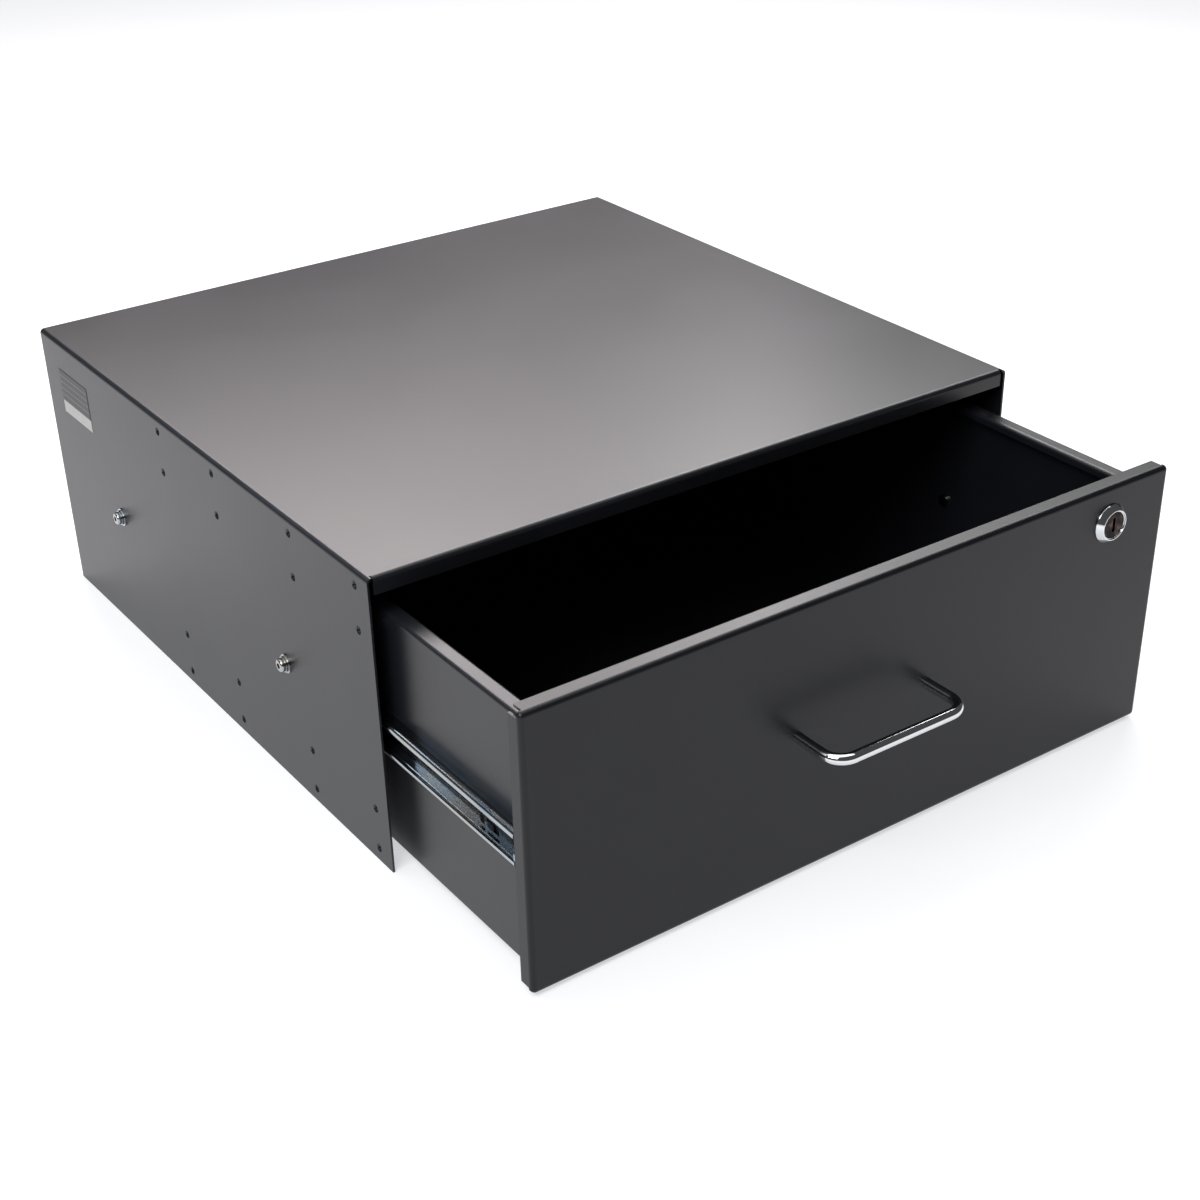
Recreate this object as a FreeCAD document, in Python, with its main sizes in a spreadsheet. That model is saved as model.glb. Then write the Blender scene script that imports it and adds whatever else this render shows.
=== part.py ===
"""Sliding rack drawer: a steel cabinet, a drawer on ball slides, a wire pull and a cam lock.

Frame, in millimetres: +Z up, the drawer pulls out towards -Y, x = 0 is the middle plane, z = 0 is
the cabinet's lower edge and y = 0 is half-way between the cabinet's back and the handle's front.
The drawer is modelled as it stands pulled out by rest_opening.

Every sub-part is drawn in the closed drawer's frame, where y = 0 is the cabinet's front edge, and
its Placement moves it from there.
"""
import FreeCAD, Part
import math
import os

import Sketcher
from FreeCAD import Placement, Rotation, Vector

SIZES = {
    # Cabinet: a folded cover, open underneath, with a pan for a back.
    "cab_width": 433.6,
    "cab_height": 177.0,
    "cab_depth": 418.0,
    "cab_sheet": 1.2,
    "cab_bend": 1.6,
    "lip_drop": 9.7,
    "relief_width": 1.0,
    "back_flange": 9.0,
    # Tapped holes for rack brackets: rows from the upper and lower edges, columns from the front.
    "row_edge": 8.5,
    "row_pitch": 25.7,
    "column_first": 13.5,
    "column_third": 174.0,
    "column_pitch": 70.0,
    "nut_thread": 5.0,
    "nut_shank": 6.35,
    "nut_head": 8.7,
    "nut_head_height": 1.3,
    "nut_fit": 0.025,
    # Screws that carry the slides, from outside.
    "front_screw_from_front": 104.0,
    "rear_screw_from_back": 95.5,
    "front_screw_drop": 2.2,
    "side_screw_shank": 5.0,
    "side_screw_head": 8.5,
    "side_screw_head_height": 5.0,
    "side_screw_socket": 4.0,
    "side_screw_end": 1.0,
    "flat_washer_width": 11.1,
    "flat_washer_sheet": 1.0,
    "lock_washer_width": 9.2,
    "lock_washer_sheet": 1.3,
    "hole_clearance": 0.25,
    "thread_fit": 0.05,
    # Blank label on the left side.
    "label_from_back": 23.5,
    "label_from_top": 18.7,
    "label_long": 43.0,
    "label_high": 29.0,
    "label_sheet": 0.15,
    # Ball slides: a rail in the cabinet inside a channel on the drawer.
    "slide_below_middle": 5.9,
    "slide_height": 21.3,
    "slide_thickness": 9.5,
    "slide_sheet": 1.2,
    "rail_from_front": 14.0,
    "rail_from_back": 14.0,
    "channel_from_front": 11.2,
    "ball_width": 3.2,
    "ball_clearance": 0.05,
    "ball_from_cabinet": 4.75,
    "cage_length": 84.0,
    "cage_sheet": 0.5,
    "cage_gap": 0.25,
    "cage_finger": 0.9,
    "cage_end_gap": 3.0,
    "bumper_length": 6.0,
    "bumper_gap": 0.5,
    "bumper_side_gap": 0.2,
    "collar_height": 1.4,
    "collar_wall": 0.7,
    "end_tab_top": -2.5,
    "slot_from_front": 47.0,
    "slot_long": 4.0,
    "window_from_front": 34.0,
    "window_long": 10.5,
    "cut_drop": 5.4,
    "cut_high": 5.0,
    "hook_from_front": 38.5,
    "hook_long": 5.0,
    "hook_high": 3.4,
    "hook_proud": 0.4,
    "rivet_shank": 4.0,
    "rivet_countersink": 1.0,
    "rivet_button": 7.5,
    "rivet_button_height": 1.8,
    "rivet_first": 160.0,
    "rivet_from_channel_end": 31.5,
    # Drawer.
    "rest_opening": 130.0,
    "full_opening": 290.0,
    "drawer_from_back": 20.0,
    "wall_below_panel": 10.1,
    "wall_bottom": 6.5,
    "tray_sheet": 1.2,
    "tray_bend": 1.0,
    "rim_width": 9.8,
    "rim_return": 5.0,
    "rim_setback": 11.5,
    "tab_width": 12.0,
    "back_wall_flange": 12.0,
    # Front panel: a shallow pan with open corners.
    "panel_gap": 1.8,
    "panel_bottom": 1.55,
    "panel_below_lip": 3.5,
    "panel_sheet": 1.5,
    "panel_bend": 1.3,
    "panel_flange": 10.0,
    "corner_slit": 0.5,
    # Wire pull.
    "handle_span": 88.0,
    "handle_offset": -4.8,
    "handle_height": 87.5,
    "handle_reach": 30.0,
    "handle_rod": 6.3,
    "handle_bend": 11.0,
    "handle_screw_shank": 4.0,
    "handle_screw_head": 8.0,
    "handle_screw_head_height": 2.6,
    "handle_screw_grip": 9.0,
    # Cam lock.
    "lock_from_side": 44.3,
    "lock_from_top": 21.9,
    "lock_bezel": 23.5,
    "lock_bezel_front": 19.5,
    "lock_bezel_height": 5.5,
    "lock_barrel": 19.0,
    "lock_barrel_flats": 16.0,
    "lock_barrel_length": 12.6,
    "lock_recess": 16.6,
    "lock_recess_depth": 1.0,
    "plug_face": 15.6,
    "plug_face_height": 3.0,
    "plug_shaft": 11.0,
    "plug_fit": 0.05,
    "plug_end_play": 0.1,
    "plug_square": 7.0,
    "key_width": 2.0,
    "key_height": 8.5,
    "key_depth": 12.0,
    "wafer_width": 6.0,
    "wafer_height": 9.0,
    "wafer_sheet": 0.8,
    "wafer_pitch": 2.0,
    "wafer_window_width": 2.6,
    "wafer_window_height": 5.0,
    "lock_nut_across": 24.0,
    "lock_nut_height": 4.0,
    "cam_sheet": 2.4,
    "cam_width": 13.0,
    "cam_reach": 29.0,
    "cam_clearance": 0.1,
    "cam_screw_head": 9.0,
    "cam_screw_head_height": 2.6,
    "cam_screw_shank": 4.0,
    "cam_screw_length": 7.0,
    "strike_sheet": 1.5,
    "strike_gap": 0.6,
    "strike_width": 36.0,
    "strike_foot": 14.0,
    "strike_clearance": 1.6,
}

BALLS_PER_ROW = 6
RIVETS_PER_SLIDE = 3
WAFERS = 4
CIRCLE = 360.0
# How far each raceway wraps its balls, from the web's side of a ball to the free edge, in degrees.
WEB_WRAP = 45.0
RAIL_WRAP = 65.0
CHANNEL_WRAP = 107.0

doc = FreeCAD.newDocument("sliding_rack_drawer")
sheet = doc.addObject("Spreadsheet::Sheet", "Sizes")
for row, (alias, number) in enumerate(SIZES.items(), start=1):
    sheet.set(f"A{row}", alias)
    sheet.set(f"B{row}", str(number))
    sheet.setAlias(f"B{row}", alias)
doc.recompute()


class Size:
    """A formula over the sheet. Its value gives a first place, its text is what drives."""

    def __init__(self, value, text):
        self.value = float(value)
        self.text = text

    @staticmethod
    def of(other):
        if isinstance(other, Size):
            return other
        return Size(other, f"({other})")

    def __add__(self, other):
        other = Size.of(other)
        return Size(self.value + other.value, f"({self.text} + {other.text})")

    def __sub__(self, other):
        other = Size.of(other)
        return Size(self.value - other.value, f"({self.text} - {other.text})")

    def __mul__(self, other):
        other = Size.of(other)
        return Size(self.value * other.value, f"({self.text} * {other.text})")

    def __truediv__(self, other):
        other = Size.of(other)
        return Size(self.value / other.value, f"({self.text} / {other.text})")

    def __neg__(self):
        return self * -1

    def __radd__(self, other):
        return Size.of(other) + self

    def __rsub__(self, other):
        return Size.of(other) - self

    def __rmul__(self, other):
        return Size.of(other) * self


def root(size):
    """Square root of a formula."""
    return Size(math.sqrt(size.value), f"sqrt({size.text})")


class Sheet:
    """The driving sizes by name: S.cab_width is a Size."""

    def __getattr__(self, alias):
        return Size(SIZES[alias], f"Sizes.{alias}")


S = Sheet()

# Planes of a body: which way a pad runs on them, and the sign of the sketch's own offset.
PLANES = {"XY_Plane": (False, 1), "XZ_Plane": (True, -1), "YZ_Plane": (False, 1)}
LEFT, RIGHT = -1, 1
SIDES = {"left": LEFT, "right": RIGHT}
nodes = []


# ---- helpers for bodies and sketches ---------------------------------------------------------
def bind(thing, path, size):
    thing.setExpression(path, Size.of(size).text)


def place(thing, x=0, y=0, z=0):
    """Places a sub-part by formulas."""
    base = [Size.of(v) for v in (x, y, z)]
    turn = thing.Placement.Rotation
    thing.Placement = Placement(Vector(*[v.value for v in base]), turn)
    for axis, v in zip("xyz", base):
        bind(thing, f"Placement.Base.{axis}", v)


def body(name, x=0, y=0, z=0):
    made = doc.addObject("PartDesign::Body", name)
    made.Label = name
    place(made, x, y, z)
    nodes.append(made)
    return made


def new_sketch(owner, plane, start):
    sketch = owner.newObject("Sketcher::SketchObject", f"{owner.Name}_outline")
    planes = {feature.Role: feature for feature in owner.Origin.OriginFeatures}
    sketch.AttachmentSupport = [(planes[plane], "")]
    sketch.MapMode = "FlatFace"
    bind(sketch, "AttachmentOffset.Base.z", Size.of(start) * PLANES[plane][1])
    return sketch


def fix_point(sketch, edge, end, point):
    """Ties one end of an edge to its two formulas."""
    for kind, size in zip(("DistanceX", "DistanceY"), point):
        size = Size.of(size)
        index = sketch.addConstraint(Sketcher.Constraint(kind, -1, 1, edge, end, size.value))
        bind(sketch, f"Constraints[{index}]", size)


def vector(point):
    return Vector(Size.of(point[0]).value, Size.of(point[1]).value, 0)


def draw_outline(sketch, points, arcs=None, closed=True):
    """Draws straight edges point to point; arcs gives {edge: (radius, centre)}, under half a turn."""
    arcs = arcs or {}
    count = len(points)
    edges = []
    backwards = {}
    for index in range(count if closed else count - 1):
        first = vector(points[index])
        last = vector(points[(index + 1) % count])
        backwards[index] = False
        if index in arcs:
            radius, centre = arcs[index]
            middle = vector(centre)
            backwards[index] = (first - middle).cross(last - middle).z < 0
            angles = [math.atan2(p.y - middle.y, p.x - middle.x) for p in (first, last)]
            if backwards[index]:
                angles.reverse()
            circle = Part.Circle(middle, Vector(0, 0, 1), Size.of(radius).value)
            edges.append(sketch.addGeometry(Part.ArcOfCircle(circle, *angles)))
            limit = Sketcher.Constraint("Radius", edges[-1], Size.of(radius).value)
            bind(sketch, f"Constraints[{sketch.addConstraint(limit)}]", radius)
        else:
            edges.append(sketch.addGeometry(Part.LineSegment(first, last)))
    for index, edge in enumerate(edges):
        start, end = (2, 1) if backwards[index] else (1, 2)
        fix_point(sketch, edge, start, points[index])
        if not closed and index == len(edges) - 1:
            fix_point(sketch, edge, end, points[index + 1])
            continue
        following = (index + 1) % len(edges)
        next_start = 2 if backwards[following] else 1
        sketch.addConstraint(
            Sketcher.Constraint("Coincident", edge, end, edges[following], next_start))


def draw_circle(sketch, centre, width):
    radius = Size.of(width) / 2
    circle = sketch.addGeometry(Part.Circle(vector(centre), Vector(0, 0, 1), radius.value))
    fix_point(sketch, circle, 3, centre)
    index = sketch.addConstraint(Sketcher.Constraint("Radius", circle, radius.value))
    bind(sketch, f"Constraints[{index}]", radius)


def draw_box(sketch, low, high):
    draw_outline(sketch, [low, (high[0], low[1]), high, (low[0], high[1])])


def pad(owner, sketch, length, plane="XZ_Plane"):
    """Pads towards the plane's positive axis."""
    feature = owner.newObject("PartDesign::Pad", f"{owner.Name}_pad")
    feature.Profile = sketch
    feature.Reversed = PLANES[plane][0]
    bind(feature, "Length", length)
    doc.recompute()
    return feature


def pocket(owner, sketch, length, plane="XZ_Plane"):
    """Cuts towards the plane's positive axis, and insists that something was cut."""
    before = owner.Shape.Volume
    feature = owner.newObject("PartDesign::Pocket", f"{owner.Name}_cut")
    feature.Profile = sketch
    feature.Reversed = not PLANES[plane][0]
    bind(feature, "Length", length)
    doc.recompute()
    if not owner.Shape.Volume < before:
        raise ValueError(f"{feature.Name} cuts nothing")
    return feature


def revolve(owner, points, arcs=None):
    """Turns an outline of (radius, y) points about the body's own Y axis."""
    sketch = new_sketch(owner, "XY_Plane", 0)
    draw_outline(sketch, points, arcs)
    feature = owner.newObject("PartDesign::Revolution", f"{owner.Name}_turned")
    feature.Profile = sketch
    feature.ReferenceAxis = (sketch, ["V_Axis"])
    feature.Angle = CIRCLE
    doc.recompute()
    return feature


def edges_near(shape, axis, spots):
    """Names of the straight edges along an axis (0, 1, 2) through given (other, other) spots."""
    others = [k for k in range(3) if k != axis]
    names = []
    for index, edge in enumerate(shape.Edges, start=1):
        ends = [v.Point for v in edge.Vertexes]
        if len(ends) != 2:
            continue
        if max(abs(ends[0][k] - ends[1][k]) for k in others) > 1e-4:
            continue
        for spot in spots:
            place_of = [Size.of(v).value for v in spot]
            if max(abs(ends[0][k] - v) for k, v in zip(others, place_of)) < 1e-4:
                names.append(f"Edge{index}")
    if not names:
        raise ValueError("no edge at the given spots")
    return names


def rims_at(shape, axis, level, radius):
    """Names of the circular edges of a radius, square to an axis, at a level."""
    names = []
    for index, edge in enumerate(shape.Edges, start=1):
        if not isinstance(edge.Curve, Part.Circle):
            continue
        centre = edge.Curve.Center
        if abs(centre[axis] - level.value) > 1e-4 or abs(abs(edge.Curve.Axis[axis]) - 1) > 1e-6:
            continue
        if abs(edge.Curve.Radius - radius.value) < 1e-4:
            names.append(f"Edge{index}")
    return names


def fillet(owner, axis, spots, radius):
    tip = owner.Tip
    feature = owner.newObject("PartDesign::Fillet", f"{owner.Name}_bend")
    feature.Base = (tip, edges_near(tip.Shape, axis, spots))
    bind(feature, "Radius", radius)
    doc.recompute()
    return feature


def group(name, masters_and_places, y=0):
    """One node of several alike solids: links to master shapes at their places."""
    node = doc.addObject("Part::Compound", name)
    node.Label = name
    links = []
    for index, (master, spot, turn) in enumerate(masters_and_places):
        link = doc.addObject("App::Link", f"{name}_{index}")
        link.LinkedObject = master
        link.Placement = Placement(Vector(), turn)
        place(link, *spot)
        links.append(link)
    node.Links = links
    place(node, 0, y, 0)
    nodes.append(node)
    return node


# ---- places shared by several sub-parts ------------------------------------------------------
reach = S.handle_reach + S.handle_rod / 2
overall_depth = S.cab_depth + S.rest_opening + reach
cabinet_y = overall_depth / 2 - S.cab_depth
drawer_y = cabinet_y - S.rest_opening
cage_y = cabinet_y - S.rest_opening / 2

cab_half = S.cab_width / 2
cab_inner = cab_half - S.cab_sheet
cab_outer_bend = S.cab_bend + S.cab_sheet
ceiling = S.cab_height - S.cab_sheet
panel_top = S.cab_height - S.lip_drop - S.panel_below_lip
wall_top = panel_top - S.wall_below_panel
wall_outer = cab_inner - S.slide_thickness
wall_inner = wall_outer - S.tray_sheet
floor_top = S.wall_bottom + S.tray_sheet
tray_outer_bend = S.tray_bend + S.tray_sheet
panel_half = cab_inner - S.panel_gap
panel_outer_bend = S.panel_bend + S.panel_sheet
drawer_depth = S.cab_depth - S.drawer_from_back
lock_across = panel_half - S.lock_from_side
lock_height = panel_top - S.lock_from_top

slide_middle = S.cab_height / 2 - S.slide_below_middle
rail_rear = S.cab_depth - S.rail_from_back
channel_rear = rail_rear - S.bumper_length - S.bumper_gap
ball_radius = S.ball_width / 2
groove = ball_radius + S.ball_clearance
# A ball's centre lies this far above or below the slide's middle.
ball_rise = S.slide_height / 2 - S.slide_sheet - groove
cage_front = S.rail_from_front + S.full_opening / 2 + S.cage_end_gap
ball_pitch = S.cage_length / BALLS_PER_ROW
ball_places = [cage_front + ball_pitch * (k + 0.5) for k in range(BALLS_PER_ROW)]

hole_rows = [S.cab_height - S.row_edge, S.cab_height - S.row_edge - S.row_pitch,
             S.row_edge + S.row_pitch, S.row_edge]
hole_columns = [S.column_first, S.column_first + S.column_pitch,
                S.column_third, S.column_third + S.column_pitch]
side_screws = [(S.front_screw_from_front, slide_middle - S.front_screw_drop),
               (S.cab_depth - S.rear_screw_from_back, slide_middle)]
rivet_pitch = (channel_rear - S.rivet_from_channel_end - S.rivet_first) / (RIVETS_PER_SLIDE - 1)
rivets = [S.rivet_first + rivet_pitch * k for k in range(RIVETS_PER_SLIDE)]
# The slot and the window of each channel, and the hook in the window, lie below its middle.
cut_middle = slide_middle - S.cut_drop
handle_feet = [S.handle_offset + S.handle_span / 2 * side for side in (LEFT, RIGHT)]


# ---- cabinet ---------------------------------------------------------------------------------
def make_shell():
    """The cover: top and sides in one folded sheet, with a lip turned down along the front."""
    shell = body("cabinet_shell", y=cabinet_y)
    sketch = new_sketch(shell, "XZ_Plane", 0)
    draw_outline(sketch, [(-cab_half, 0), (-cab_inner, 0), (-cab_inner, ceiling),
                          (cab_inner, ceiling), (cab_inner, 0), (cab_half, 0),
                          (cab_half, S.cab_height), (-cab_half, S.cab_height)])
    pad(shell, sketch, S.cab_depth)
    fillet(shell, 1, [(side * cab_half, S.cab_height) for side in SIDES.values()], cab_outer_bend)
    fillet(shell, 1, [(side * cab_inner, ceiling) for side in SIDES.values()], S.cab_bend)
    lip_half = cab_half - cab_outer_bend - S.relief_width
    sketch = new_sketch(shell, "XY_Plane", ceiling)
    for side in SIDES.values():
        low, high = sorted((side * lip_half, side * (lip_half + S.relief_width)),
                           key=lambda size: size.value)
        draw_box(sketch, (low, 0), (high, cab_outer_bend))
    pocket(shell, sketch, S.cab_sheet, "XY_Plane")
    sketch = new_sketch(shell, "XZ_Plane", 0)
    draw_box(sketch, (-lip_half, S.cab_height - S.lip_drop), (lip_half, ceiling))
    pad(shell, sketch, S.cab_sheet)
    fillet(shell, 0, [(0, S.cab_height)], cab_outer_bend)
    fillet(shell, 0, [(S.cab_sheet, ceiling)], S.cab_bend)
    sketch = new_sketch(shell, "YZ_Plane", -cab_half)
    for column in hole_columns:
        for row in hole_rows:
            draw_circle(sketch, (column, row), S.nut_shank + 2 * S.nut_fit)
    for spot in side_screws:
        draw_circle(sketch, spot, S.side_screw_shank + 2 * S.hole_clearance)
    pocket(shell, sketch, S.cab_width, "YZ_Plane")


def make_pan(name, half, low, high, face, opening, thick, bend, y):
    """A face with four flanges turned back by opening, which is signed along Y."""
    pan = body(name, y=y)
    forward = opening.value < 0
    inner_face = face - thick if forward else face + thick
    sketch = new_sketch(pan, "XZ_Plane", face + opening if forward else face)
    draw_box(sketch, (-half, low), (half, high))
    pad(pan, sketch, -opening if forward else opening)
    fillet(pan, 0, [(face, low), (face, high)], bend + thick)
    fillet(pan, 2, [(-half, face), (half, face)], bend + thick)
    sketch = new_sketch(pan, "XZ_Plane", face + opening if forward else inner_face)
    inner = (half - thick, low + thick, high - thick)
    draw_box(sketch, (-inner[0], inner[1]), (inner[0], inner[2]))
    pocket(pan, sketch, (-opening if forward else opening) - thick)
    fillet(pan, 0, [(inner_face, inner[1]), (inner_face, inner[2])], bend)
    fillet(pan, 2, [(-inner[0], inner_face), (inner[0], inner_face)], bend)
    return pan


def open_corners(pan, half, low, high, face, opening, size):
    """Cuts the flanges apart at the four corners, behind the bend of the face."""
    inward = size if opening.value > 0 else -size
    start = face + inward
    length = opening - inward
    if opening.value < 0:
        start = face + opening
        length = -length
    sketch = new_sketch(pan, "XZ_Plane", start)
    for side in SIDES.values():
        for level, up in ((low, size), (high - size, size)):
            left = side * half if side == LEFT else half - size
            draw_box(sketch, (left, level), (left + size, level + up))
    pocket(pan, sketch, length)


def make_cabinet_back():
    size = cab_outer_bend + S.corner_slit
    pan = make_pan("cabinet_back", cab_inner, Size.of(0), ceiling, S.cab_depth, -S.back_flange,
                   S.cab_sheet, S.cab_bend, cabinet_y)
    open_corners(pan, cab_inner, Size.of(0), ceiling, S.cab_depth, -S.back_flange, size)


def make_rack_nut():
    """Clinch nut along X: its shank fills the sheet, its collar lies inside the cabinet."""
    nut = doc.addObject("Part::Cylinder", "rack_nut_shank")
    bind(nut, "Radius", S.nut_shank / 2)
    bind(nut, "Height", S.cab_sheet)
    collar = doc.addObject("Part::Cylinder", "rack_nut_collar")
    bind(collar, "Radius", S.nut_head / 2)
    bind(collar, "Height", S.nut_head_height)
    place(collar, z=S.cab_sheet)
    bore = doc.addObject("Part::Cylinder", "rack_nut_bore")
    bind(bore, "Radius", S.nut_thread / 2)
    bind(bore, "Height", S.cab_sheet + S.nut_head_height)
    whole = doc.addObject("Part::MultiFuse", "rack_nut_blank")
    whole.Shapes = [nut, collar]
    cut = doc.addObject("Part::Cut", "rack_nut")
    cut.Base = whole
    cut.Tool = bore
    return cut


def inward(side):
    """Turns a fastener drawn along +Z so that it points from a side wall into the cabinet."""
    return Rotation(Vector(0, 1, 0), -90 * side)


def make_rack_nuts():
    master = make_rack_nut()
    for name, side in SIDES.items():
        group(f"{name}_rack_nuts", [(master, (side * cab_half, column, row), inward(side))
                                    for column in hole_columns for row in hole_rows], cabinet_y)


def ring(name, width, bore, height):
    """Washer drawn along +Z."""
    disc = doc.addObject("Part::Cylinder", f"{name}_disc")
    bind(disc, "Radius", Size.of(width) / 2)
    bind(disc, "Height", height)
    hole = doc.addObject("Part::Cylinder", f"{name}_hole")
    bind(hole, "Radius", Size.of(bore) / 2)
    bind(hole, "Height", height)
    cut = doc.addObject("Part::Cut", name)
    cut.Base = disc
    cut.Tool = hole
    return cut


def prism(name, across, height):
    """Hexagonal bar along +Z, by its width across the flats."""
    bar = doc.addObject("Part::Prism", name)
    bar.Polygon = 6
    bind(bar, "Circumradius", across / math.sqrt(3))
    bind(bar, "Height", height)
    return bar


def make_side_screw():
    """Socket cap screw along +Z: z = 0 is under the head."""
    head = doc.addObject("Part::Cylinder", "side_screw_cap")
    bind(head, "Radius", S.side_screw_head / 2)
    bind(head, "Height", S.side_screw_head_height)
    place(head, z=-S.side_screw_head_height)
    shank = doc.addObject("Part::Cylinder", "side_screw_shank")
    bind(shank, "Radius", S.side_screw_shank / 2)
    bind(shank, "Height", S.flat_washer_sheet + S.lock_washer_sheet + S.cab_sheet
         + S.slide_sheet + S.side_screw_end)
    whole = doc.addObject("Part::MultiFuse", "side_screw_blank")
    whole.Shapes = [head, shank]
    socket = prism("side_screw_socket", S.side_screw_socket, S.side_screw_head_height / 2)
    place(socket, z=-S.side_screw_head_height)
    cut = doc.addObject("Part::Cut", "side_screw")
    cut.Base = whole
    cut.Tool = socket
    return cut


def make_side_fasteners():
    screw = make_side_screw()
    bore = S.side_screw_shank + 2 * S.hole_clearance
    flat = ring("flat_washer", S.flat_washer_width, bore, S.flat_washer_sheet)
    spring = ring("lock_washer", S.lock_washer_width, bore, S.lock_washer_sheet)
    stack = S.flat_washer_sheet + S.lock_washer_sheet
    for name, side in SIDES.items():
        turn = inward(side)
        for piece, master, out in (("side_screws", screw, stack),
                                   ("lock_washers", spring, stack),
                                   ("flat_washers", flat, S.flat_washer_sheet)):
            group(f"{name}_{piece}", [(master, (side * (cab_half + out), y, z), turn)
                                      for y, z in side_screws], cabinet_y)


def make_label():
    label = doc.addObject("Part::Box", "side_label")
    label.Label = "side_label"
    bind(label, "Length", S.label_sheet)
    bind(label, "Width", S.label_long)
    bind(label, "Height", S.label_high)
    place(label, -cab_half - S.label_sheet,
          cabinet_y + S.cab_depth - S.label_from_back - S.label_long,
          S.cab_height - S.label_from_top - S.label_high)
    nodes.append(label)


def make_strike():
    """Angle under the top sheet that the turned cam catches behind."""
    strike = body("lock_strike", y=cabinet_y)
    front = S.panel_flange + S.strike_gap
    low = panel_top + S.strike_clearance
    sketch = new_sketch(strike, "YZ_Plane", lock_across - S.strike_width / 2)
    draw_outline(sketch, [(front, low), (front + S.strike_sheet, low),
                          (front + S.strike_sheet, ceiling - S.strike_sheet),
                          (front + S.strike_foot, ceiling - S.strike_sheet),
                          (front + S.strike_foot, ceiling), (front, ceiling)])
    pad(strike, sketch, S.strike_width, "YZ_Plane")
    fillet(strike, 0, [(front, ceiling)], S.strike_sheet)


# ---- ball slides -----------------------------------------------------------------------------
def across(side, from_cabinet):
    """x of a point of a slide, by its distance from the cabinet's side sheet."""
    return side * (cab_inner - from_cabinet)


def ordered(first, last):
    """Two sizes, the lesser first."""
    return (first, last) if first.value < last.value else (last, first)


def raceway_outline(side, web, heading, ball_side, wrap):
    """Closed outline of a slide member: a web and two flanges, each rolled round its balls.

    web is the distance of the web's back from the cabinet's side, heading says which way the
    flanges run from it, and ball_side is 1 where the balls run inside the flanges and -1 where
    they run outside them. wrap is the raceway's reach towards the free edge, in degrees.
    """
    thick = S.slide_sheet
    bend_cos = math.cos(math.radians(WEB_WRAP))
    wrap_sin, wrap_cos = math.sin(math.radians(wrap)), math.cos(math.radians(wrap))
    far = groove + thick
    ball_level = ball_rise + ball_side * groove * bend_cos
    back_level = ball_level + ball_side * thick
    ball_run = groove * math.sin(math.radians(WEB_WRAP))
    back_run = root(far * far - (groove * bend_cos + thick) * (groove * bend_cos + thick))
    faces = [(ball_level, groove, ball_run), (back_level, far, back_run)]
    inner, outer = faces if ball_side > 0 else reversed(faces)
    points, arcs = [], {}
    for up in (1, -1):
        centre = (across(side, S.ball_from_cabinet), slide_middle + up * ball_rise)
        half = []
        for level, radius, run in (outer, inner):
            start = web if radius is outer[1] else web + heading * thick
            flat = [(across(side, start), slide_middle + up * level),
                    (across(side, S.ball_from_cabinet - heading * run), slide_middle + up * level)]
            tip = (across(side, S.ball_from_cabinet + heading * radius * wrap_sin),
                   centre[1] + up * ball_side * radius * wrap_cos)
            half.append((flat, tip, radius))
        (flat_out, tip_out, radius_out), (flat_in, tip_in, radius_in) = half
        run = [*flat_out, tip_out, tip_in, flat_in[1], flat_in[0]]
        radii = [radius_out, radius_in]
        if up < 0:
            run.reverse()
            radii.reverse()
        arcs[len(points) + 1] = (radii[0], centre)
        arcs[len(points) + 3] = (radii[1], centre)
        points += run
    return points, arcs


def make_rail(name, side):
    """Cabinet member: its raceways face up and down, inside the drawer's channel."""
    rail = body(f"{name}_cabinet_rail", y=cabinet_y)
    sketch = new_sketch(rail, "XZ_Plane", S.rail_from_front)
    draw_outline(sketch, *raceway_outline(side, Size.of(0), 1, -1, RAIL_WRAP))
    pad(rail, sketch, rail_rear - S.rail_from_front)
    # Collars drawn out of the web take the threads of the side screws.
    collar = ordered(across(side, S.slide_sheet), across(side, S.slide_sheet + S.collar_height))
    sketch = new_sketch(rail, "YZ_Plane", collar[0])
    bore = S.side_screw_shank + 2 * S.thread_fit
    for spot in side_screws:
        draw_circle(sketch, spot, bore + 2 * S.collar_wall)
    pad(rail, sketch, S.collar_height, "YZ_Plane")
    drilled = ordered(across(side, Size.of(0)), across(side, S.slide_sheet + S.collar_height))
    sketch = new_sketch(rail, "YZ_Plane", drilled[0])
    for spot in side_screws:
        draw_circle(sketch, spot, bore)
    pocket(rail, sketch, S.slide_sheet + S.collar_height, "YZ_Plane")


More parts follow.
